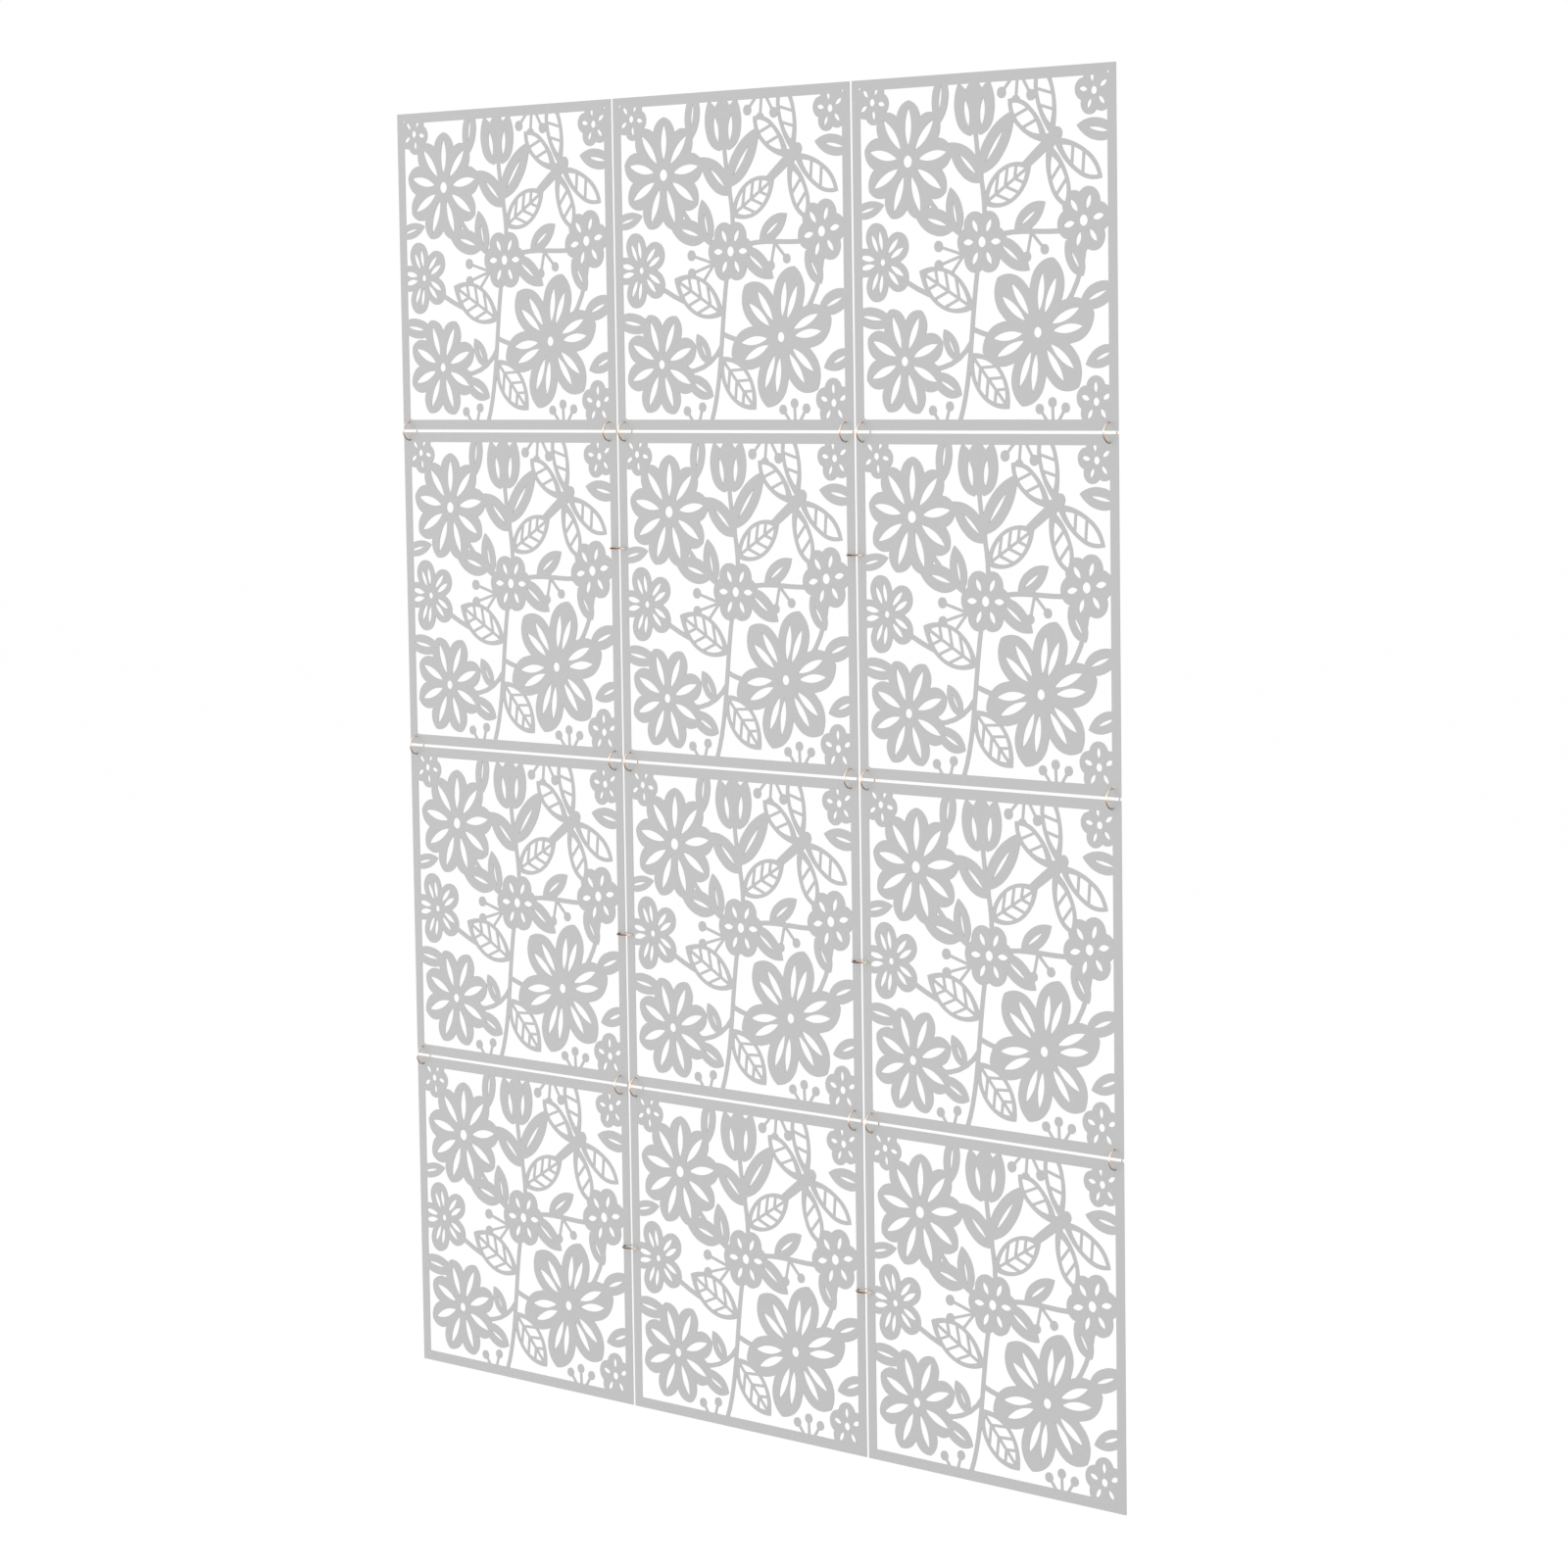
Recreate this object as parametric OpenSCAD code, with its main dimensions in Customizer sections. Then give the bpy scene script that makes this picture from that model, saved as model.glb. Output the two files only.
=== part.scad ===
// Hanging room divider: square fretwork panels of thin sheet, tied into a
// curtain with wire rings. Each row hangs from the row above on two rings a
// panel, and one ring ties neighbours side by side in every hung row.
//
// Frame: X runs along the curtain, Y points away from the viewer through the
// sheet, Z is up. The origin is in the middle of the sheet, at the middle of
// the line through the top row's hanging holes.

/* [Curtain] */
// Number of panels side by side
columns = 3; // [2:1:3]
// Number of panels from top to bottom
rows = 4; // [2:1:4]
// Clear gap between neighbouring columns
column_gap = 3; // [1.6:0.1:4]
// Clear gap between a row and the row that hangs from it
row_gap = 2.6; // [1.6:0.1:4]

/* [Panel] */
// Width of one panel
panel_w = 290; // [260:1:320]
// Height of one panel
panel_h = 290; // [260:1:320]
// Thickness of the sheet
sheet_t = 1; // [0.8:0.1:1.5]
// Width of the plain border round the fretwork
border_w = 9; // [8:0.5:12]

/* [Rings] */
// Outside diameter of a wire ring
ring_d = 18; // [17:0.5:22]
// Diameter of the ring's wire
wire_d = 1.4; // [1.2:0.1:1.6]
// Width of the butt joint where a ring is closed
joint_gap = 0.2; // [0.1:0.05:0.4]
// Diameter of the holes that the rings pass through
hole_d = 2.4; // [2.4:0.1:3]
// Clearance between the wire and the side of the hole that bears on it
wire_clearance = 0.3; // [0.25:0.05:0.35]
// Distance of a corner hole from the side edge of its panel
corner_hole_x = 8.5; // [6:0.5:12]
// Depth of row 2's side rings below the top edge of their panels
side_drop_row_2 = 102; // [60:1:230]
// Depth of row 3's side rings below the top edge of their panels
side_drop_row_3 = 154; // [60:1:230]
// Depth of row 4's side rings below the top edge of their panels
side_drop_row_4 = 145; // [60:1:230]
// Radius of the solid sheet that is kept round every hole
eyelet_r = 3; // [2.5:0.5:6]

/* [Fretwork] */
// Width of the main stems
stem_w = 4.2; // [3.6:0.1:5]
// Width of the thin veins and stalks
vein_w = 2.4; // [2.2:0.1:3]
// Width of the rim round a veined leaf or wing
rim_w = 2.8; // [2.4:0.1:3.4]

/* [Hidden] */
// The top row has no side rings
side_drops = [undef, side_drop_row_2, side_drop_row_3, side_drop_row_4];
// The fretwork's unit: a hundredth of half the panel's side, mean of its two sides
unit = (panel_w + panel_h) / 4 / 100;
// Length of the straight pieces that a curved stem is drawn with
stem_step = 12;
wire_r = wire_d / 2;
hole_r = hole_d / 2;
// Radius of the ring's centreline
ring_r = ring_d / 2 - wire_r;
// How far the wire lies off the hole's centre when a panel hangs on it
seat = hole_r - wire_r - wire_clearance;
// Distance of a corner hole from the top or bottom edge of its panel
corner_hole_z = ring_r - row_gap / 2 + seat;
// Distance of a side hole from the edge of its panel
side_hole_x = ring_r - column_gap / 2;
pitch_x = panel_w + column_gap;
pitch_z = panel_h + row_gap;
// Share of a petal's length by which its two halves overlap
petal_lap = 0.05;
// Length of a cutter that passes right through the sheet
cut_reach = 10;
sheet_colour = [0.77, 0.77, 0.77];
wire_colour = [0.83, 0.64, 0.42];

// ---- names ---------------------------------------------------------------

column_names = columns == 3 ? ["left", "centre", "right"] : ["left", "right"];
side_names = ["l", "r"];
function panel_name(r, c) = str("panel_r", r + 1, "_", column_names[c]);
function hang_ring_name(r, c, s) =
    str("hang_ring_r", r + 1, "_", column_names[c], "_", side_names[s]);
function side_ring_name(r, c) =
    str("side_ring_r", r + 1, "_", column_names[c], "_", column_names[c + 1]);

// ---- curves ----------------------------------------------------------------

// A point, and the direction there, on the cubic curve through control points p
function along(p, t) =
    pow(1 - t, 3) * p[0] + 3 * t * pow(1 - t, 2) * p[1] + 3 * t * t * (1 - t) * p[2] + pow(t, 3) * p[3];
function heading(p, t) =
    3 * pow(1 - t, 2) * (p[1] - p[0]) + 6 * t * (1 - t) * (p[2] - p[1]) + 3 * t * t * (p[3] - p[2]);
function left_of(v) = [-v[1], v[0]] / norm(v);

// A shape between two arcs that meet in points, along +X from the origin
module lens(length, width) {
    r = (pow(length, 2) + pow(width, 2)) / (4 * width);
    intersection() {
        translate([length / 2, r - width / 2]) circle(r, $fn = 180);
        translate([length / 2, width / 2 - r]) circle(r, $fn = 180);
    }
}

// A petal that is widest at the share belly of its length: the foot half of one
// lens and the tip half of another, which cross where it is widest
module petal(length, width, belly = 0.62) {
    wide = length * belly;
    lap = length * petal_lap;
    foot_lens = 2 * wide * (1 - petal_lap);
    tip_lens = 2 * (length - wide) * (1 - petal_lap);
    intersection() {
        lens(foot_lens, width);
        translate([-lap, -width]) square([wide + 2 * lap, 2 * width]);
    }
    intersection() {
        translate([length - tip_lens, 0]) lens(tip_lens, width);
        translate([wide - lap, -width]) square([length, 2 * width]);
    }
}

// A ribbon along a cubic curve
module stem(points) {
    p = [for (q = points) spot(q)];
    n = max(4, ceil((norm(p[1] - p[0]) + norm(p[2] - p[1]) + norm(p[3] - p[2])) / stem_step));
    function edge(i, side) = along(p, i / n) + side * stem_w / 2 * left_of(heading(p, i / n));
    polygon(concat([for (i = [0:n]) edge(i, 1)], [for (i = [n:-1:0]) edge(i, -1)]));
}

// A round, and a straight vein or stalk along +X from the origin
module disc(r) { circle(r, $fn = 48); }
module bar(length) { translate([0, -vein_w / 2]) square([length, vein_w]); }

// ---- motifs: each draws its sheet when cut is false and its slots when true --
// Their lengths and widths are given in the fretwork's units, and the rest of their
// form in shares of these. Stalks, veins and rims have the widths named at the top

// Long petals round an eye, each with a slot. They start inside the eye, clear of its centre
module daisy(count, reach, breadth, eye, cut) {
    length = reach * unit;
    eye_r = eye * unit;
    foot = eye_r / 2;
    slot_start = eye_r + vein_w;
    slot_end = length - 2.4 * vein_w;
    for (i = [0:count - 1]) rotate(360 * i / count) {
        if (!cut) translate([foot, 0]) petal(length - foot, breadth * unit);
        if (cut) translate([slot_start, 0]) lens(slot_end - slot_start, 0.28 * breadth * unit);
    }
    if (!cut) disc(eye_r + vein_w);
    if (cut) disc(eye_r / 2);
}

// Broad pointed petals round a middle, with a slot on each side of a midrib
module lily(count, reach, breadth, cut) {
    length = reach * unit;
    width = breadth * unit;
    foot = width / 5;
    belly = 0.55;
    slot_start = 0.26 * length;
    slot_side = vein_w / 2 + 0.05 * width;
    slot_lean = 8;
    for (i = [0:count - 1]) rotate(360 * i / count) {
        if (!cut) translate([foot, 0]) petal(length - foot, width, belly);
        if (cut) for (side = [-1, 1]) translate([slot_start, side * slot_side])
            rotate(side * slot_lean) lens(0.52 * length, 0.2 * width);
    }
    if (!cut) disc(0.45 * width);
    if (cut) disc(0.12 * width);
}

// Round lobes about an eye, each with a slot
module blossom(lobes, reach, lobe, cut) {
    length = reach * unit;
    lobe_r = lobe * unit;
    slot_start = 0.34 * length;
    for (i = [0:lobes - 1]) rotate(360 * i / lobes) {
        if (!cut) translate([length - lobe_r, 0]) disc(lobe_r);
        if (cut) translate([slot_start, 0]) lens(0.44 * length, 0.42 * lobe_r);
    }
    if (!cut) disc(length / 2);
    if (cut) disc(0.16 * length);
}

// A leaf of open cells between a midrib and paired veins
module veined_leaf(reach, breadth, pairs, cut) {
    length = reach * unit;
    width = breadth * unit;
    tip = length / 10;
    first_vein = 0.06 * length;
    vein_pitch = 0.68 * length / (pairs + 0.4);
    vein_lean = 50;
    if (!cut) lens(length, width);
    if (cut) difference() {
        translate([tip, 0]) lens(length - 2 * tip, width - 2.2 * rim_w);
        bar(length);
        for (k = [1:pairs], side = [-1, 1])
            translate([first_vein + k * vein_pitch, 0]) rotate(side * vein_lean) bar(width);
    }
}

// A solid leaf slit along its midrib
module plain_leaf(reach, breadth, cut) {
    length = reach * unit;
    width = breadth * unit;
    belly = 0.45;
    if (!cut) petal(length, width, belly);
    if (cut) translate([length / 5, 0]) lens(length / 2, 0.16 * width);
}

// A cup of three petals with two slots between them
module tulip(reach, breadth, cut) {
    height = reach * unit;
    width = breadth * unit;
    side_lean = 15;
    slot_lean = 8;
    if (!cut) petal(height, 0.62 * width, 0.45);
    for (side = [-1, 1]) {
        if (!cut) translate([0, side * 0.12 * width]) rotate(side * side_lean)
            petal(0.98 * height, width / 2, 0.4);
        if (cut) translate([0.16 * height, side * 0.16 * width]) rotate(side * slot_lean)
            lens(height / 2, 0.13 * width);
    }
}

// Stalks that fan from the origin, each with a round berry
module berries(count, reach, spread, berry, cut) {
    stalk = (reach - berry) * unit;
    if (!cut) for (i = [0:count - 1]) rotate(spread * (i / (count - 1) - 0.5)) {
        bar(stalk);
        translate([stalk, 0]) disc(berry * unit);
    }
}

// A dragonfly that flies along +X: a long tail, a chest, a head, and two pairs of
// wings, the hind pair set further back and shorter, with two veins across each
module dragonfly(reach, span, cut) {
    body = reach * unit;
    wing = span * unit;
    wing_w = wing / 3;
    first_lean = 68;
    next_lean = 36;
    vein_lean = 62;
    if (!cut) {
        translate([-0.66 * body, 0]) petal(0.82 * body, 0.094 * body, 0.75);
        disc(0.067 * body);
        translate([0.11 * body, 0]) disc(0.056 * body);
    }
    for (side = [-1, 1], hind = [0, 1])
        translate([(0.05 - 0.07 * hind) * body, 0]) rotate(side * (first_lean + next_lean * hind)) {
            if (!cut) petal((1 - 0.1 * hind) * wing, wing_w, 0.6);
            if (cut) difference() {
                translate([0.18 * wing, 0])
                    petal((0.74 - 0.1 * hind) * wing, wing_w - 2.4 * rim_w, 0.55);
                for (along_wing = [0.4, 0.62]) translate([along_wing * wing, 0])
                    rotate(side * vein_lean) translate([-wing / 5, 0]) bar(0.4 * wing);
            }
        }
}

// ---- the fretwork: every motif at its place on the panel -------------------

// A place on the panel, in hundredths of half its width and half its height
function spot(p) = [p[0] * panel_w, p[1] * panel_h] / 2 / 100;
module at(p, turn = 0) { translate(spot(p)) rotate(turn) children(); }

module artwork(cut) {
    if (!cut) {
        stem([[-20.7, -100], [-6.9, -75.9], [-9.7, -27.6], [0, 5.5]]);
        stem([[0, 5.5], [6.9, 27.6], [-4.1, 48.3], [-4.1, 71.7]]);
        stem([[-8.3, -49.7], [-19.3, -66.2], [-41.4, -69], [-60.7, -60.7]]);
        stem([[-8.3, -42.8], [6.9, -48.3], [20.7, -51], [40, -45.5]]);
        stem([[0, 5.5], [-20.7, 8.3], [-34.5, 20.7], [-56.6, 51]]);
        stem([[41.4, -45.5], [71.7, -31.7], [77.2, -6.9], [77.2, 13.8]]);
        stem([[0, 5.5], [27.6, 16.6], [55.2, 4.1], [77.2, 13.8]]);
        stem([[-5.5, -27.6], [-27.6, -30.3], [-55.2, -20.7], [-78.6, -2.8]]);
    }
    at([41.4, -45.5], 14) lily(6, 42.8, 24.8, cut);
    at([-56.6, 52.4], 8) daisy(9, 34.5, 18.6, 6.9, cut);
    at([51, 59.3], 35) dragonfly(66.2, 42.8, cut);
    at([-60.7, -60.7], 20) daisy(8, 31.7, 17.2, 5.5, cut);
    at([0, 5.5]) blossom(6, 18.6, 8.3, cut);
    at([75.9, 15.2], 10) blossom(6, 19.3, 8.3, cut);
    at([-77.2, -4.1], 36) lily(5, 23.4, 16.6, cut);
    at([-4.1, 64.8], 92) tulip(31.7, 30.3, cut);
    at([84.1, 85.5], 28) blossom(5, 13.8, 6.2, cut);
    at([-84.1, 86.9], 63) blossom(5, 13.1, 6.2, cut);
    at([84.1, -84.1], 20) blossom(5, 14.5, 6.9, cut);
    at([-6.9, -31.7], 152) veined_leaf(46.9, 22.1, 3, cut);
    at([-9.7, -56.6], -47) veined_leaf(42.8, 21.4, 3, cut);
    at([1.4, 26.2], 30) veined_leaf(41.4, 20.7, 3, cut);
    at([1.4, 38.6], 138) plain_leaf(34.5, 15.2, cut);
    at([9.7, 6.9], -35) plain_leaf(31.7, 13.8, cut);
    at([24.8, 11], 34) plain_leaf(27.6, 12.4, cut);
    at([75.2, -15.2], 122) plain_leaf(23.4, 11.7, cut);
    at([73.1, -30.3], 20) plain_leaf(29, 13.8, cut);
    at([-20.7, 13.8], 165) plain_leaf(31.7, 15.2, cut);
    at([-17.9, 9.7], 102) plain_leaf(27.6, 12.4, cut);
    at([-16.6, -80], 154) plain_leaf(26.2, 12.4, cut);
    at([-19.3, -60.7], 120) plain_leaf(20.7, 9.7, cut);
    at([-2.1, 42.8], 52) plain_leaf(44.1, 15.9, cut);
    at([-29, 100], -98) plain_leaf(29, 12.4, cut);
    at([100, 62.1], 170) plain_leaf(29, 12.4, cut);
    at([100, -55.2], 200) plain_leaf(24.8, 11.7, cut);
    at([-100, 23.4], 12) plain_leaf(24.8, 9.7, cut);
    at([-100, -33.8], -8) plain_leaf(31.7, 12.4, cut);
    at([28.3, 100], -96) berries(3, 20.7, 78, 3.2, cut);
    at([52.4, -100], 92) berries(3, 18.6, 76, 2.9, cut);
    at([-13.8, -1.4], 196) berries(3, 23.4, 62, 3.2, cut);
    at([37.2, 9.7], -74) berries(2, 16.6, 60, 2.9, cut);
    at([-30.3, -100], 100) berries(2, 17.2, 56, 2.9, cut);
}

// The field inside the plain border
module field() { square([panel_w - 2 * border_w, panel_h - 2 * border_w], center = true); }

// The background that is cut away round the fretwork, the border and the eyelets
module background(r, c) {
    difference() {
        field();
        artwork(false);
        for (h = holes(r, c)) translate(h) disc(eyelet_r);
    }
}

// The slots in the fretwork, clear of the border and the eyelets
module slots(r, c) {
    difference() {
        intersection() {
            field();
            artwork(true);
        }
        for (h = holes(r, c)) translate(h) disc(eyelet_r);
    }
}

// ---- sub-parts -------------------------------------------------------------

// Height of the middle of the panels in row r
function row_z(r) = corner_hole_z - panel_h / 2 - r * pitch_z;
// Place across the curtain of the middle of the panels in column c
function column_x(c) = (c - (columns - 1) / 2) * pitch_x;
// Height of the gap between row r and the row above it
function gap_z(r) = row_z(r) + pitch_z / 2;
// Height of the side rings of row r
function side_z(r) = row_z(r) + panel_h / 2 - side_drops[r];

// Place of the hole in one corner of a panel, from the middle of the panel
function corner_hole(across, up) =
    [across * (panel_w / 2 - corner_hole_x), up * (panel_h / 2 - corner_hole_z)];
// Places of all the holes in a panel
function holes(r, c) = concat(
    [for (s = [-1, 1]) corner_hole(s, 1)],
    r < rows - 1 ? [for (s = [-1, 1]) corner_hole(s, -1)] : [],
    r > 0 && c > 0 ? [[side_hole_x - panel_w / 2, panel_h / 2 - side_drops[r]]] : [],
    r > 0 && c < columns - 1 ? [[panel_w / 2 - side_hole_x, panel_h / 2 - side_drops[r]]] : []
);

module panel(r, c) {
    color(sheet_colour)
    translate([column_x(c), 0, row_z(r)]) rotate([90, 0, 0]) difference() {
        cube([panel_w, panel_h, sheet_t], center = true);
        linear_extrude(cut_reach, center = true) background(r, c);
        linear_extrude(cut_reach, center = true) slots(r, c);
        for (h = holes(r, c)) translate(h)
            cylinder(h = cut_reach, r = hole_r, center = true, $fn = 32);
    }
}

// A wire ring about Z, with its butt joint on +X
module wire_ring() {
    joint_angle = 360 * joint_gap / (2 * PI * ring_r);
    color(wire_colour) rotate([0, 0, joint_angle / 2])
        rotate_extrude(angle = 360 - joint_angle, $fn = 64)
        translate([ring_r, 0]) circle(wire_r, $fn = 24);
}

// A ring that hangs row r from the row above, its joint out of the way on top
module hang_ring(r, c, s) {
    x = column_x(c) + (2 * s - 1) * (panel_w / 2 - corner_hole_x);
    translate([x, 0, gap_z(r)]) rotate([0, -90, 0]) wire_ring();
}

// A ring that ties a panel of row r to its neighbour, its joint to the back
module side_ring(r, c) {
    translate([column_x(c) + pitch_x / 2, 0, side_z(r)]) rotate([0, 0, 90]) wire_ring();
}

for (r = [0:rows - 1], c = [0:columns - 1])
    panel(r, c);
for (r = [1:rows - 1], c = [0:columns - 1], s = [0:1])
    hang_ring(r, c, s);
for (r = [1:rows - 1], c = [0:columns - 2])
    side_ring(r, c);
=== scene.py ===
# %% [markdown]
# # A hanging room divider of fretwork panels
# Twelve square panels, cut from thin pale grey plastic sheet, hang as a curtain:
# three side by side and four rows down. Small rose gold wire rings tie them. Each
# row hangs from the row above on two rings a panel, and below the top row one more
# ring ties each pair of neighbours. This lesson dresses the measured solids with
# finishes, remakes the rings as smooth drawn wire, and sets up the studio.

# %% Fetch the tools
import math

import bpy
from mathutils import Matrix, Vector


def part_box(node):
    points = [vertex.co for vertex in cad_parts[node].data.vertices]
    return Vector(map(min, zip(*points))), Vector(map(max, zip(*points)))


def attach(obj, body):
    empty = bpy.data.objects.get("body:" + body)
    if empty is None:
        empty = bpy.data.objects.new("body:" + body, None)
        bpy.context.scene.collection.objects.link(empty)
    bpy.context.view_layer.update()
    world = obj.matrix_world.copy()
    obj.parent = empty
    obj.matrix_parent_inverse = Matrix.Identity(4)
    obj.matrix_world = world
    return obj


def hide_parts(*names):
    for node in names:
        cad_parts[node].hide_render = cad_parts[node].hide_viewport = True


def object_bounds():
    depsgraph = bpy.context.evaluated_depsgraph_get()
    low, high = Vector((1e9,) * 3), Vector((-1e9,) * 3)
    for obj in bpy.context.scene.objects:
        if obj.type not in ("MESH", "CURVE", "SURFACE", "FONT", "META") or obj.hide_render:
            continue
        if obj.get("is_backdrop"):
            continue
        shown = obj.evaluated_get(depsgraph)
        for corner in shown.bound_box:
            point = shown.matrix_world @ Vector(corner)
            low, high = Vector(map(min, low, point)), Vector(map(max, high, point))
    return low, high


print("Blender", bpy.app.version_string)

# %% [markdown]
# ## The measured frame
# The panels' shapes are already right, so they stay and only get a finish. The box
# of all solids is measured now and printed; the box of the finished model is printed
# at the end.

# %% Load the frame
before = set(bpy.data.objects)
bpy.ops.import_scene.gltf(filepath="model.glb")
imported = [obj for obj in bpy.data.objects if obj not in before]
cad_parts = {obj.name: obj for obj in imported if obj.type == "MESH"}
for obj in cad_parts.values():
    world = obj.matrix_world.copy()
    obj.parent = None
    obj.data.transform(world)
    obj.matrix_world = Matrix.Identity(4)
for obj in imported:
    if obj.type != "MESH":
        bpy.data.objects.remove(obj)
cad_low, cad_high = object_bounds()
panels = sorted(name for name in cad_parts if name.startswith("panel"))
rings = sorted(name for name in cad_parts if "ring" in name)
print("panels", len(panels), "rings", len(rings), "box", cad_low, cad_high)

# %% [markdown]
# ## Camera
# The curtain is seen from its right front, 45 degrees round and a little from above,
# through a long lens. The straight edges of the panels in the photograph were fitted
# to find where the camera stood, how it leaned, and its focal length. Lengths of the
# camera's own parts are in millimetres, places are in metres and turns in degrees.

# %% Place the camera
SENSOR_WIDTH = 36.0
FOCAL_LENGTH = 104.07
CAMERA_PLACE = (2.8055, -2.7343, -0.2204)
CAMERA_TURN = (84.614, 0.816, 45.083)

camera = bpy.data.objects.new("camera", bpy.data.cameras.new("camera"))
bpy.context.collection.objects.link(camera)
camera.data.sensor_width = SENSOR_WIDTH
camera.data.lens = FOCAL_LENGTH
camera.location = CAMERA_PLACE
camera.rotation_euler = [math.radians(angle) for angle in CAMERA_TURN]
bpy.context.scene.camera = camera
print("camera at", tuple(camera.location), "lens", camera.data.lens, "mm")

# %% [markdown]
# ## Helpers for node trees
# Materials are built from nodes by script. Three short helpers keep that readable:
# one makes a node and sets its plain values, one starts a material with its shader,
# and one starts a group that several materials can use. Values that are the same all
# over a surface are set on the shader itself.


# %% Make nodes, materials and groups
def add_node(tree, kind, settings=None, **values):
    """A new node of this kind. settings are its options, values its inputs by name."""
    node = tree.nodes.new(kind)
    for option, setting in (settings or {}).items():
        setattr(node, option, setting)
    for name, value in values.items():
        node.inputs[name.replace("_", " ")].default_value = value
    return node


def new_material(name):
    """An empty material with its output and a Principled shader already joined."""
    material = bpy.data.materials.new(name)
    material.use_nodes = True
    tree = material.node_tree
    tree.nodes.clear()
    output = add_node(tree, "ShaderNodeOutputMaterial")
    shader = add_node(tree, "ShaderNodeBsdfPrincipled")
    tree.links.new(shader.outputs["BSDF"], output.inputs["Surface"])
    return material, tree, shader


def new_group(name, inputs, outputs):
    """A node group with named sockets. Each is a pair: its name and its kind of socket."""
    group = bpy.data.node_groups.new(name, "ShaderNodeTree")
    for socket_name, kind in inputs:
        group.interface.new_socket(socket_name, in_out="INPUT", socket_type=kind)
    for socket_name, kind in outputs:
        group.interface.new_socket(socket_name, in_out="OUTPUT", socket_type=kind)
    return group, group.nodes.new("NodeGroupInput"), group.nodes.new("NodeGroupOutput")


# %% [markdown]
# ## Effect: fine grain
# Matt plastic sheet and drawn wire both have a surface that is not quite even. On the
# sheet it is the texture of the rollers that pressed it, on the wire fine marks along
# its length. Both are noise at two scales, so one group makes them, and each material
# gives it its own scales: the larger the number, the smaller the marks. It puts out a
# height for bumps and a mask of broad patches for shade.

# %% Build the grain group
FLOAT = "NodeSocketFloat"
VECTOR = "NodeSocketVector"
FINE_DETAIL = 3.0
BROAD_DETAIL = 2.0
NOISE_ROUGHNESS = 0.55

grain_group, grain_in, grain_out = new_group(
    "fine grain",
    [("Vector", VECTOR), ("Fine Scale", FLOAT), ("Broad Scale", FLOAT)],
    [("Height", FLOAT), ("Patches", FLOAT)],
)
for socket_name, scale_name, detail in (
    ("Height", "Fine Scale", FINE_DETAIL),
    ("Patches", "Broad Scale", BROAD_DETAIL),
):
    noise = add_node(
        grain_group, "ShaderNodeTexNoise", Detail=detail, Roughness=NOISE_ROUGHNESS
    )
    grain_group.links.new(grain_in.outputs["Vector"], noise.inputs["Vector"])
    grain_group.links.new(grain_in.outputs[scale_name], noise.inputs["Scale"])
    grain_group.links.new(noise.outputs["Fac"], grain_out.inputs[socket_name])
print("group", grain_group.name, "with", len(grain_group.nodes), "nodes")

# %% [markdown]
# ## Effect: cut edge
# Where a cutter went through the sheet, its edge is a little lighter than its rolled
# faces. In a panel's own space the faces look along Y and the cut edges across it, so
# the normal there tells them apart, at any pose of the curtain. The mask is 1 where
# the normal has little of Y in it, and 0 where it has much.

# %% Build the cut edge group
EDGE_BELOW = 0.35
FACE_ABOVE = 0.75

edge_group, edge_in, edge_out = new_group("cut edge", [("Normal", VECTOR)], [("Edge", FLOAT)])
split = add_node(edge_group, "ShaderNodeSeparateXYZ")
depth = add_node(edge_group, "ShaderNodeMath", {"operation": "ABSOLUTE"})
ramp = add_node(
    edge_group,
    "ShaderNodeMapRange",
    From_Min=EDGE_BELOW,
    From_Max=FACE_ABOVE,
    To_Min=1.0,
    To_Max=0.0,
)
edge_group.links.new(edge_in.outputs["Normal"], split.inputs["Vector"])
edge_group.links.new(split.outputs["Y"], depth.inputs[0])
edge_group.links.new(depth.outputs[0], ramp.inputs["Value"])
edge_group.links.new(ramp.outputs["Result"], edge_out.inputs["Edge"])
print("group", edge_group.name, "with", len(edge_group.nodes), "nodes")

# %% [markdown]
# ## Finish of the sheet
# The panels are solid coloured plastic sheet, pale grey and matt. A single flat
# colour would look like paper in a drawing program, so the grey varies very slightly
# from place to place, the surface carries a fine roller grain, and the cut edges
# are a shade lighter. A Mix node has a set of sockets for each kind of value, so the
# ones for colours and for their share are picked by number.

# %% Mix the sheet's colour
SHEET_GREY = (0.573, 0.573, 0.574, 1.0)
SHEET_DARKER = (0.563, 0.563, 0.564, 1.0)
SHEET_EDGE = (0.592, 0.592, 0.593, 1.0)
SHEET_GRAIN_SCALE = 1400.0
SHEET_PATCH_SCALE = 9.0
MIX_SHARE = 0
MIX_FIRST = 6
MIX_SECOND = 7
MIX_RESULT = 2

sheet_finish, tree, shader = new_material("pale sheet")
place = add_node(tree, "ShaderNodeTexCoord")
grain = add_node(
    tree,
    "ShaderNodeGroup",
    {"node_tree": grain_group},
    Fine_Scale=SHEET_GRAIN_SCALE,
    Broad_Scale=SHEET_PATCH_SCALE,
)
edge = add_node(tree, "ShaderNodeGroup", {"node_tree": edge_group})
tree.links.new(place.outputs["Object"], grain.inputs["Vector"])
tree.links.new(place.outputs["Normal"], edge.inputs["Normal"])

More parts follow.
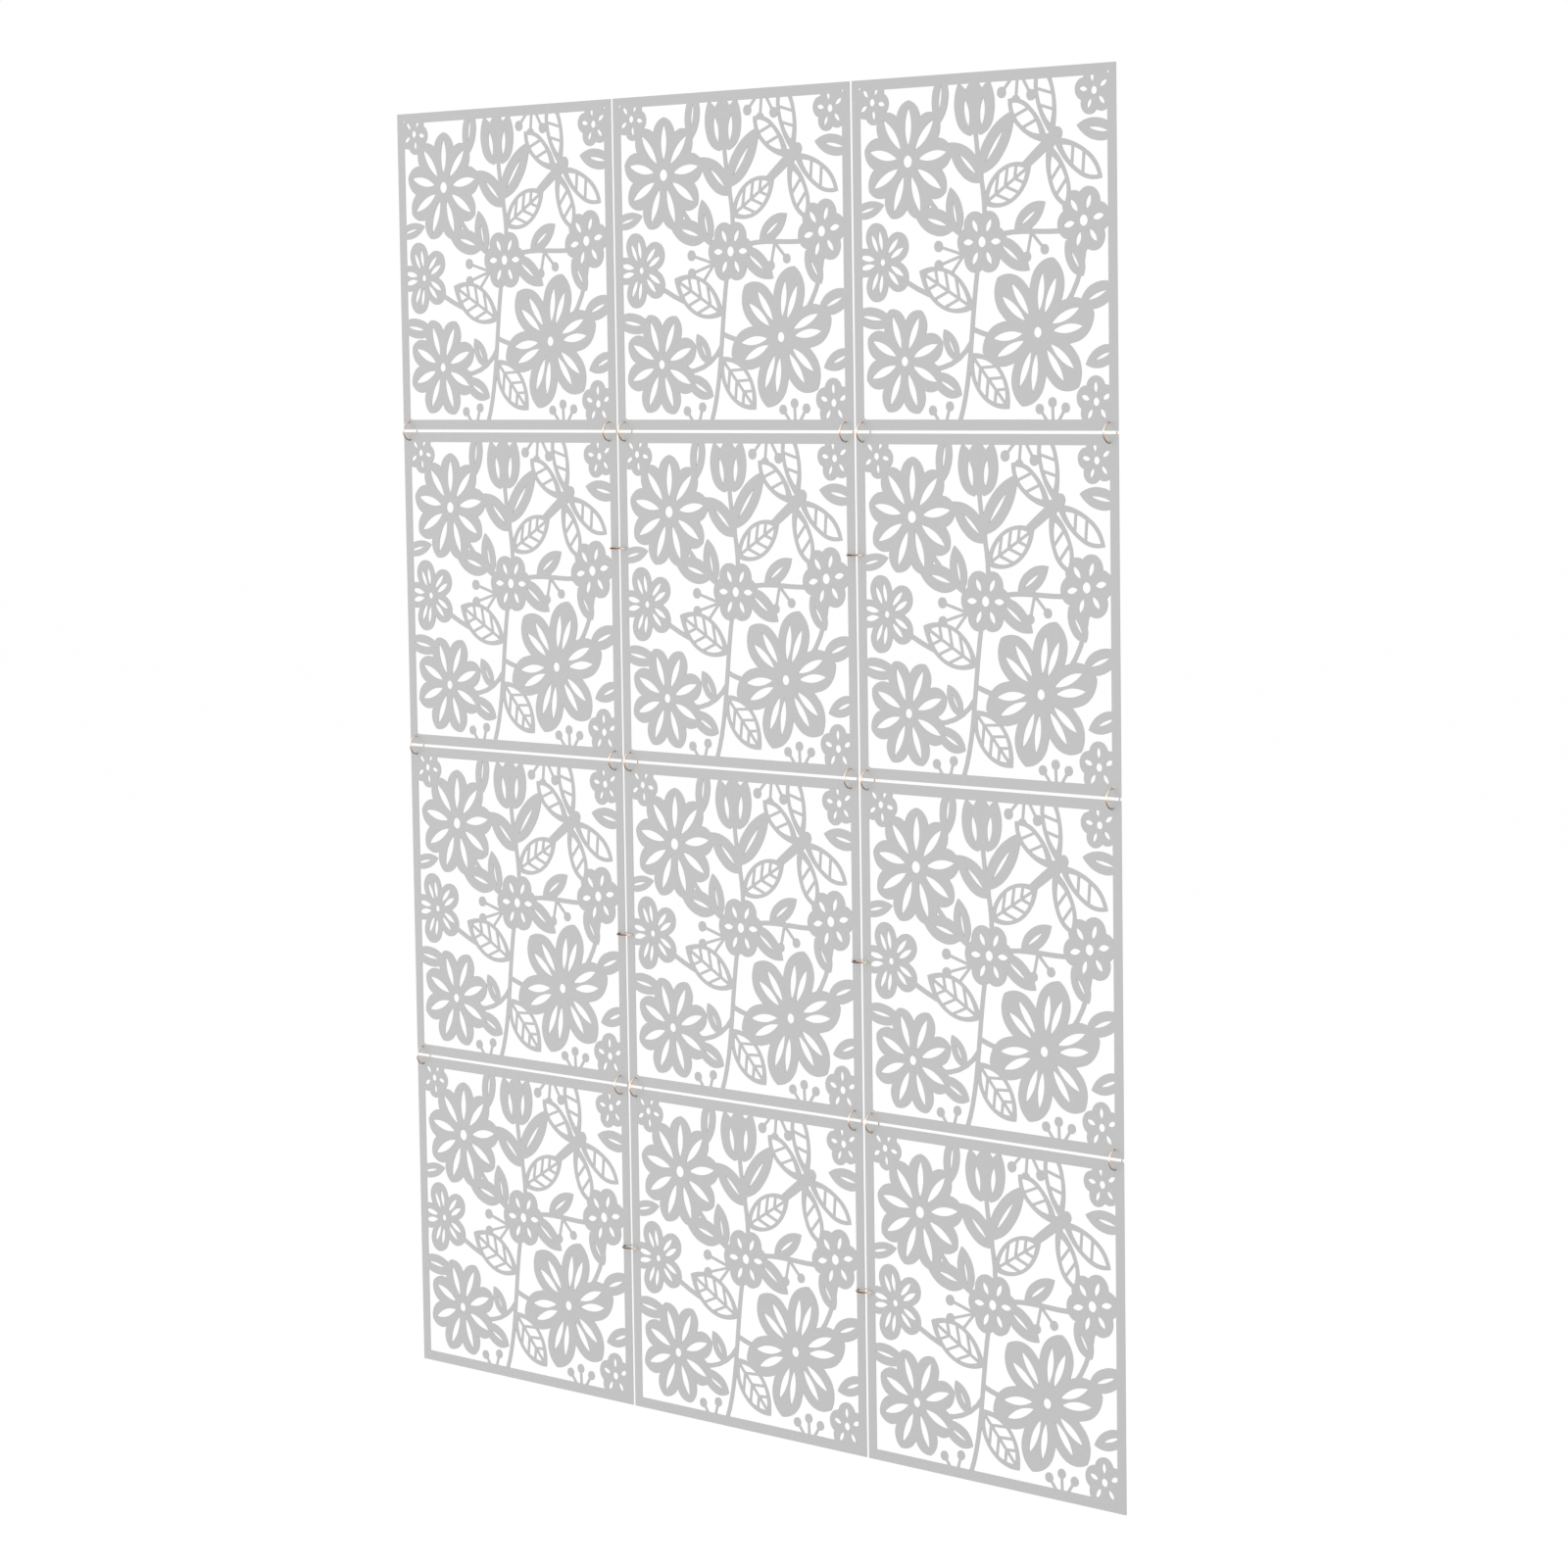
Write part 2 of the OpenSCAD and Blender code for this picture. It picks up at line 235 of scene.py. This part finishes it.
face_colour = add_node(tree, "ShaderNodeMix", {"data_type": "RGBA"})
face_colour.inputs[MIX_FIRST].default_value = SHEET_GREY
face_colour.inputs[MIX_SECOND].default_value = SHEET_DARKER
tree.links.new(grain.outputs["Patches"], face_colour.inputs[MIX_SHARE])
colour = add_node(tree, "ShaderNodeMix", {"data_type": "RGBA"})
colour.inputs[MIX_SECOND].default_value = SHEET_EDGE
tree.links.new(edge.outputs["Edge"], colour.inputs[MIX_SHARE])
tree.links.new(face_colour.outputs[MIX_RESULT], colour.inputs[MIX_FIRST])
tree.links.new(colour.outputs[MIX_RESULT], shader.inputs["Base Color"])
print("grey of the sheet", SHEET_GREY[:3], "to", SHEET_DARKER[:3])

# %% [markdown]
# The same grain gives the sheet its matt look. It moves the roughness a little up and
# down and, as a bump of a few hundredths of a millimetre, it breaks up the shine.


# %% Give a surface its gloss and grain
def add_gloss(tree, grain, shader, roughness, bump_strength, bump_depth):
    """Roughness between two values and a bump, both from the grain's height."""
    gloss = add_node(tree, "ShaderNodeMapRange", To_Min=roughness[0], To_Max=roughness[1])
    tree.links.new(grain.outputs["Height"], gloss.inputs["Value"])
    tree.links.new(gloss.outputs["Result"], shader.inputs["Roughness"])
    bump = add_node(tree, "ShaderNodeBump", Strength=bump_strength, Distance=bump_depth)
    tree.links.new(grain.outputs["Height"], bump.inputs["Height"])
    tree.links.new(bump.outputs["Normal"], shader.inputs["Normal"])


SHEET_ROUGHNESS = (0.36, 0.46)
SHEET_BUMP_STRENGTH = 0.25
SHEET_BUMP_DEPTH = 0.00004

add_gloss(tree, grain, shader, SHEET_ROUGHNESS, SHEET_BUMP_STRENGTH, SHEET_BUMP_DEPTH)
print("material", sheet_finish.name, "with", len(tree.nodes), "nodes")

# %% [markdown]
# ## Finish of the wire
# The rings are polished wire with a thin plating of pale rose gold. Along the wire its
# colour runs from a light champagne tone to a deep brown, and that run is painted
# light: the pale is a painted highlight from above and the brown a painted reflection
# of dark surroundings. Each hanging ring is painted pale above the gap and brown below
# it, and each side ring brown at its left. So the tones are laid along the wire, on
# each ring's own map, in which one direction runs along the wire and the other round
# it. A ping-pong node and a doubling turn the place along the wire into a share that
# rises from 0 at the ring's joint to 1 on its far side, and falls again on the way
# back. Broad patches of grain move that share a little, so no two stretches of wire
# are quite the same.

# %% Lay the painted light tones along the wire
# Painted light: the pale stops are a painted highlight, the dark brown stops a painted
# reflection.
WIRE_PAINTED_LIGHT_TONES = (
    (0.00, (0.74, 0.54, 0.44, 1.0)),
    (0.14, (0.97, 0.83, 0.71, 1.0)),
    (0.44, (0.99, 0.90, 0.74, 1.0)),
    (0.52, (0.40, 0.19, 0.11, 1.0)),
    (0.66, (0.17, 0.072, 0.035, 1.0)),
    (0.75, (0.05, 0.025, 0.015, 1.0)),
    (0.85, (0.11, 0.060, 0.038, 1.0)),
    (1.00, (0.78, 0.52, 0.40, 1.0)),
)
WIRE_GRAIN_STRETCH = (3.0, 40.0, 1.0)
WIRE_GRAIN_SCALE = 1.0
WIRE_PATCH_SCALE = 1.6
UNEVENNESS = 0.16
HALF_TURN = 0.5

wire_finish, tree, shader = new_material("plated wire")
wire_map = add_node(tree, "ShaderNodeUVMap", {"uv_map": "wire"})
stretch = add_node(tree, "ShaderNodeMapping", Scale=WIRE_GRAIN_STRETCH)
grain = add_node(
    tree,
    "ShaderNodeGroup",
    {"node_tree": grain_group},
    Fine_Scale=WIRE_GRAIN_SCALE,
    Broad_Scale=WIRE_PATCH_SCALE,
)
tree.links.new(wire_map.outputs["UV"], stretch.inputs["Vector"])
tree.links.new(stretch.outputs["Vector"], grain.inputs["Vector"])

split = add_node(tree, "ShaderNodeSeparateXYZ")
there_and_back = add_node(tree, "ShaderNodeMath", {"operation": "PINGPONG"})
there_and_back.inputs[1].default_value = HALF_TURN
uneven = add_node(tree, "ShaderNodeMapRange", To_Min=-UNEVENNESS, To_Max=UNEVENNESS)
with_uneven = add_node(tree, "ShaderNodeMath", {"operation": "MULTIPLY_ADD"})
with_uneven.inputs[1].default_value = 1 / HALF_TURN
# This ramp paints the highlight and the reflection into the wire's base colour.
painted_light_tones = add_node(tree, "ShaderNodeValToRGB")
while len(painted_light_tones.color_ramp.elements) < len(WIRE_PAINTED_LIGHT_TONES):
    painted_light_tones.color_ramp.elements.new(0.5)
for element, (share, tone) in zip(painted_light_tones.color_ramp.elements, WIRE_PAINTED_LIGHT_TONES):
    element.position = share
    element.color = tone
tree.links.new(wire_map.outputs["UV"], split.inputs["Vector"])
tree.links.new(split.outputs["X"], there_and_back.inputs[0])
tree.links.new(there_and_back.outputs[0], with_uneven.inputs[0])
tree.links.new(grain.outputs["Patches"], uneven.inputs["Value"])
tree.links.new(uneven.outputs["Result"], with_uneven.inputs[2])
tree.links.new(painted_light_tones.outputs["Color"], shader.inputs["Base Color"])
print("tones at", [round(element.position, 2) for element in painted_light_tones.color_ramp.elements])

# %% [markdown]
# Where the wire turns its sides to the light it shines. There two soft highlight
# streaks are painted into its colour, round the whole ring, on opposite sides of the
# wire, each about a quarter of the way round it. In a painted highlight the tone is
# taken half the scale nearer to the joint's pale end. The map's other direction tells
# how far round the wire a point is, and a second ping-pong node turns that into the
# way to the nearer painted highlight, in turns of the wire.

# %% Add the painted highlight streaks
# Painted highlights: the streaks lighten the wire's colour and stand in for its shine.
PAINTED_HIGHLIGHT_PLACE = 0.16
PAINTED_HIGHLIGHT_TONE_SHIFT = -0.5
PAINTED_HIGHLIGHT_FULL_WITHIN = 0.05
PAINTED_HIGHLIGHT_GONE_BEYOND = 0.13

from_painted_highlight = add_node(tree, "ShaderNodeMath", {"operation": "SUBTRACT"})
from_painted_highlight.inputs[1].default_value = PAINTED_HIGHLIGHT_PLACE
to_nearer = add_node(tree, "ShaderNodeMath", {"operation": "PINGPONG"})
to_nearer.inputs[1].default_value = HALF_TURN / 2
painted_highlight = add_node(
    tree,
    "ShaderNodeMapRange",
    {"interpolation_type": "SMOOTHSTEP"},
    From_Min=PAINTED_HIGHLIGHT_FULL_WITHIN,
    From_Max=PAINTED_HIGHLIGHT_GONE_BEYOND,
    To_Min=PAINTED_HIGHLIGHT_TONE_SHIFT,
    To_Max=0.0,
)
with_painted_highlight = add_node(tree, "ShaderNodeMath", {"operation": "ADD"})
tree.links.new(split.outputs["Y"], from_painted_highlight.inputs[0])
tree.links.new(from_painted_highlight.outputs[0], to_nearer.inputs[0])
tree.links.new(to_nearer.outputs[0], painted_highlight.inputs["Value"])
tree.links.new(with_uneven.outputs[0], with_painted_highlight.inputs[0])
tree.links.new(painted_highlight.outputs["Result"], with_painted_highlight.inputs[1])
tree.links.new(with_painted_highlight.outputs[0], painted_light_tones.inputs["Fac"])
print("streaks at", PAINTED_HIGHLIGHT_PLACE, "and", PAINTED_HIGHLIGHT_PLACE + HALF_TURN, "of the way round")

# %% [markdown]
# The gloss is high, with fine lines along the wire from the die that it was drawn
# through. The noise for it is stretched along the wire, so the lines run that way.

# %% Make the wire's gloss
WIRE_ROUGHNESS = (0.12, 0.30)
WIRE_BUMP_STRENGTH = 0.3
WIRE_BUMP_DEPTH = 0.00002

add_gloss(tree, grain, shader, WIRE_ROUGHNESS, WIRE_BUMP_STRENGTH, WIRE_BUMP_DEPTH)
shader.inputs["Metallic"].default_value = 1.0
print("material", wire_finish.name, "with", len(tree.nodes), "nodes")

# %% [markdown]
# ## The panels
# Each panel's solid is already cut as the real one is, with its border, its fretwork
# and its holes. It stays where it is and takes the sheet's finish.

# %% Give the panels their finish
for name in panels:
    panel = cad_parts[name]
    panel.data.materials.clear()
    panel.data.materials.append(sheet_finish)
print("finished", len(panels), "panels")

# %% [markdown]
# ## One wire ring
# A ring is a length of round wire bent until its ends nearly meet. It starts as a
# disc, the wire's cross section, out at the ring's radius. Spinning the disc round
# the middle sweeps the wire, and stopping just short of a full turn leaves the joint.
# A small bevel then rounds the two cut ends, as tumbling does on the real ones. The
# first measured ring hangs upright across the sheet, so its box is as wide as the
# wire is thick, and as deep as the whole ring. The box is read to the nearest
# hundredth of a millimetre, which is five decimals of a metre.

# %% Sizes of the ring
DECIMALS = 5
JOINT_GAP = 0.0002
END_ROUNDING = 0.00012
END_STEPS = 2
STEPS_ALONG = 96
SIDES_ROUND = 20

low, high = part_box(rings[0])
WIRE_RADIUS = round((high.x - low.x) / 2, DECIMALS)
RING_RADIUS = round((high.y - low.y) / 2, DECIMALS) - WIRE_RADIUS
print("wire radius", WIRE_RADIUS, "ring radius", RING_RADIUS)

# %% [markdown]
# Operators work on what is selected, as they would by hand, so a helper first clears
# the selection. The ring is then modelled lying flat round the Z axis. The two cut
# ends are the only faces with as many corners as the wire has sides, which is how
# the script finds them for the bevel.


# %% Model the ring
def deselect_all():
    """Nothing is selected and nothing is being edited."""
    if bpy.context.object and bpy.context.object.mode != "OBJECT":
        bpy.ops.object.mode_set(mode="OBJECT")
    bpy.ops.object.select_all(action="DESELECT")


def model_ring():
    """A wire ring about Z, in the middle of the scene, with its joint on +X."""
    deselect_all()
    bpy.ops.mesh.primitive_circle_add(
        vertices=SIDES_ROUND,
        radius=WIRE_RADIUS,
        fill_type="NGON",
        location=(RING_RADIUS, 0, 0),
        rotation=(math.pi / 2, 0, 0),
    )
    ring = bpy.context.object
    bpy.ops.object.transform_apply(location=True, rotation=True, scale=True)
    bpy.ops.object.mode_set(mode="EDIT")
    bpy.ops.mesh.select_all(action="SELECT")
    bpy.ops.mesh.spin(
        steps=STEPS_ALONG,
        angle=2 * math.pi - JOINT_GAP / RING_RADIUS,
        center=(0, 0, 0),
        axis=(0, 0, 1),
    )
    bpy.ops.mesh.select_all(action="SELECT")
    bpy.ops.mesh.normals_make_consistent(inside=False)
    bpy.ops.mesh.select_all(action="DESELECT")
    bpy.ops.object.mode_set(mode="OBJECT")
    for face in ring.data.polygons:
        face.select = len(face.vertices) == SIDES_ROUND
    print("cut ends selected", sum(face.select for face in ring.data.polygons))
    bpy.ops.object.mode_set(mode="EDIT")
    bpy.ops.mesh.bevel(offset=END_ROUNDING, segments=END_STEPS, affect="EDGES")
    bpy.ops.object.mode_set(mode="OBJECT")
    return ring


pattern_ring = model_ring()
print("ring", len(pattern_ring.data.polygons), "faces")

# %% [markdown]
# The ring gets a map for its finish: one direction is the distance along the wire
# and the other the way round it, both from the points' own places. A face that
# crosses the start of a turn would run backwards over the map, so its points are
# brought to the same turn first. Smooth shading then hides the facets, except where
# two of them meet at more than the angle given here.


# %% Map the ring
def wire_place(point):
    """How far along the ring and how far round the wire a point is, in turns."""
    along = math.atan2(point.y, point.x) / (2 * math.pi) % 1.0
    outwards = math.hypot(point.x, point.y) - RING_RADIUS
    return along, math.atan2(point.z, outwards) / (2 * math.pi) % 1.0


def same_turn(turns):
    """The same places, all within half a turn of the first."""
    return [turn - round(turn - turns[0]) for turn in turns]


def map_wire(ring):
    """Writes the ring's map."""
    layer = ring.data.uv_layers.new(name="wire")
    for face in ring.data.polygons:
        places = [wire_place(ring.data.vertices[v].co) for v in face.vertices]
        along = same_turn([place[0] for place in places])
        around = same_turn([place[1] for place in places])
        for loop, u, v in zip(face.loop_indices, along, around):
            layer.data[loop].uv = (u, v)


SMOOTH_BELOW = math.radians(50)

map_wire(pattern_ring)
deselect_all()
pattern_ring.select_set(True)
bpy.context.view_layer.objects.active = pattern_ring
bpy.ops.object.shade_smooth_by_angle(angle=SMOOTH_BELOW)
pattern_ring.data.materials.append(wire_finish)
print("mapped", len(pattern_ring.data.loops), "corners of the ring's faces")

# %% [markdown]
# ## All the rings
# A hanging ring stands upright, across the sheet, with its joint up inside the hole of
# the panel above. A side ring lies level with its joint to the back. Each measured
# ring tells by its box where it is, so a copy of the modelled ring is turned, moved
# there and rides on the same body. Its turn and place go into its mesh. The painted
# brown reflection lies on both sides of the place opposite the joint, which is the
# bottom of a hanging ring. Each kind of ring then has its map shifted, in turns along
# the wire and round it, to move the painted light. A side ring's painted brown moves
# on to its left front, and its painted highlight streak to its top. A hanging ring's
# map moves much less: its painted brown begins just below the gap.

# %% Place the rings
UPRIGHT = Matrix.Rotation(math.radians(-90), 4, "Y")
LEVEL = Matrix.Rotation(math.radians(90), 4, "Z")
# Shifts that place the painted highlight and the painted reflection on each kind of ring.
HANG_RING_PAINTED_LIGHT_SHIFT = Vector((0.02, -0.06))
SIDE_RING_PAINTED_LIGHT_SHIFT = Vector((0.115, -0.12))

for name in rings:
    low, high = (Vector(corner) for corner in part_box(name))
    hangs = name.startswith("hang")
    turn = UPRIGHT if hangs else LEVEL
    painted_light_shift = HANG_RING_PAINTED_LIGHT_SHIFT if hangs else SIDE_RING_PAINTED_LIGHT_SHIFT
    wire = bpy.data.objects.new(name.replace("ring", "wire"), pattern_ring.data.copy())
    bpy.context.collection.objects.link(wire)
    wire.data.transform(Matrix.Translation((low + high) / 2) @ turn)
    for corner in wire.data.uv_layers["wire"].data:
        corner.uv += painted_light_shift
    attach(wire, name)
    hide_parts(name)
bpy.data.objects.remove(pattern_ring)
print("placed", len(rings), "rings")

# %% [markdown]
# ## Floor and background
# The curtain hangs clear of a wide pale floor. To the camera, and in polished metal
# and glass, the surroundings are plain white. The floor takes most of its brightness
# that way too, and the rest from the lamps, so a soft shadow still falls on it.


# %% White where it is seen
def seen_directly(tree):
    """1 for rays from the camera, off a gloss or through glass, otherwise 0."""
    path = add_node(tree, "ShaderNodeLightPath")
    total = path.outputs["Is Camera Ray"]
    for ray in ("Is Glossy Ray", "Is Transmission Ray"):
        joined = add_node(tree, "ShaderNodeMath", {"operation": "MAXIMUM"})
        tree.links.new(total, joined.inputs[0])
        tree.links.new(path.outputs[ray], joined.inputs[1])
        total = joined.outputs[0]
    return total


# %% [markdown]
# The world is the same white at two strengths. What lights the curtain is weaker than
# what the camera sees, because the lamps add the rest.

# %% Make the world
WHITE = (1.0, 1.0, 1.0, 1.0)
ROOM_LIGHT = 0.72
SEEN_LIGHT = 1.0

world = bpy.data.worlds.new("studio")
bpy.context.scene.world = world
world.use_nodes = True
tree = world.node_tree
tree.nodes.clear()
output = add_node(tree, "ShaderNodeOutputWorld")
mix = add_node(tree, "ShaderNodeMixShader")
room = add_node(tree, "ShaderNodeBackground", Color=WHITE, Strength=ROOM_LIGHT)
backdrop = add_node(tree, "ShaderNodeBackground", Color=WHITE, Strength=SEEN_LIGHT)
tree.links.new(seen_directly(tree), mix.inputs[0])
tree.links.new(room.outputs[0], mix.inputs[1])
tree.links.new(backdrop.outputs[0], mix.inputs[2])
tree.links.new(mix.outputs[0], output.inputs["Surface"])
print("room light", ROOM_LIGHT, "and", SEEN_LIGHT, "where it is seen")

# %% [markdown]
# The floor is a wide plane well below the curtain, and its white runs into the white
# of the world. Its material mixes a pale paint, which takes the lamps' light and the
# shadow, with a plain glow.

# %% Lay the floor
FLOOR_SIZE = 60.0
FLOOR_DROP = 0.9
FLOOR_PAINT = (0.86, 0.86, 0.86, 1.0)
FLOOR_WHITENESS = 0.8
FLOOR_GLOW = 1.09

deselect_all()
bpy.ops.mesh.primitive_plane_add(size=FLOOR_SIZE, location=(0, 0, cad_low.z - FLOOR_DROP))
floor = bpy.context.object
floor.name = "floor"
bpy.ops.object.transform_apply(location=True, rotation=True, scale=True)
floor_finish = bpy.data.materials.new("floor")
floor_finish.use_nodes = True
tree = floor_finish.node_tree
tree.nodes.clear()
output = add_node(tree, "ShaderNodeOutputMaterial")
mix = add_node(tree, "ShaderNodeMixShader")
paint = add_node(tree, "ShaderNodeBsdfDiffuse", Color=FLOOR_PAINT)
glow = add_node(tree, "ShaderNodeEmission", Color=WHITE, Strength=FLOOR_GLOW)
share = add_node(tree, "ShaderNodeMath", {"operation": "MULTIPLY"})
share.inputs[1].default_value = FLOOR_WHITENESS
tree.links.new(seen_directly(tree), share.inputs[0])
tree.links.new(share.outputs[0], mix.inputs[0])
tree.links.new(paint.outputs[0], mix.inputs[1])
tree.links.new(glow.outputs[0], mix.inputs[2])
tree.links.new(mix.outputs[0], output.inputs["Surface"])
floor.data.materials.append(floor_finish)
floor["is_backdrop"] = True
print("floor at", round(cad_low.z - FLOOR_DROP, 3))

# %% [markdown]
# ## Lamps
# Two large soft lamps stand in front, the brighter one to the left, and a weaker one
# behind keeps the back from going dull. Together with the room's light they come to
# about a plain white level, so the grey of the sheet renders as it is written. Each
# lamp has a name, a place, the length of its side in metres and its watts, and it is
# turned to face the middle of the curtain.

# %% Hang the lamps
LAMPS = (
    ("key lamp", (-2.6, -3.2, -0.4), 4.0, 36.0),
    ("fill lamp", (3.2, -2.4, -0.5), 3.0, 21.0),
    ("back lamp", (1.2, 3.4, 1.2), 3.0, 22.0),
)

middle = (cad_low + cad_high) / 2
for name, place, size, watts in LAMPS:
    lamp = bpy.data.objects.new(name, bpy.data.lights.new(name, "AREA"))
    bpy.context.collection.objects.link(lamp)
    lamp.data.size = size
    lamp.data.energy = watts
    lamp.location = place
    lamp.rotation_euler = (middle - Vector(place)).to_track_quat("-Z", "Y").to_euler()
    print(name, "at", place, watts, "W")

# %% [markdown]
# ## The picture's settings and the finished box
# The Standard view keeps colours as they are written. The box of the finished model
# is printed, as the box of the measured solids was at the start.

# %% Finish
bpy.context.scene.view_settings.view_transform = "Standard"
low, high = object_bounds()
print("visual box", low, high)
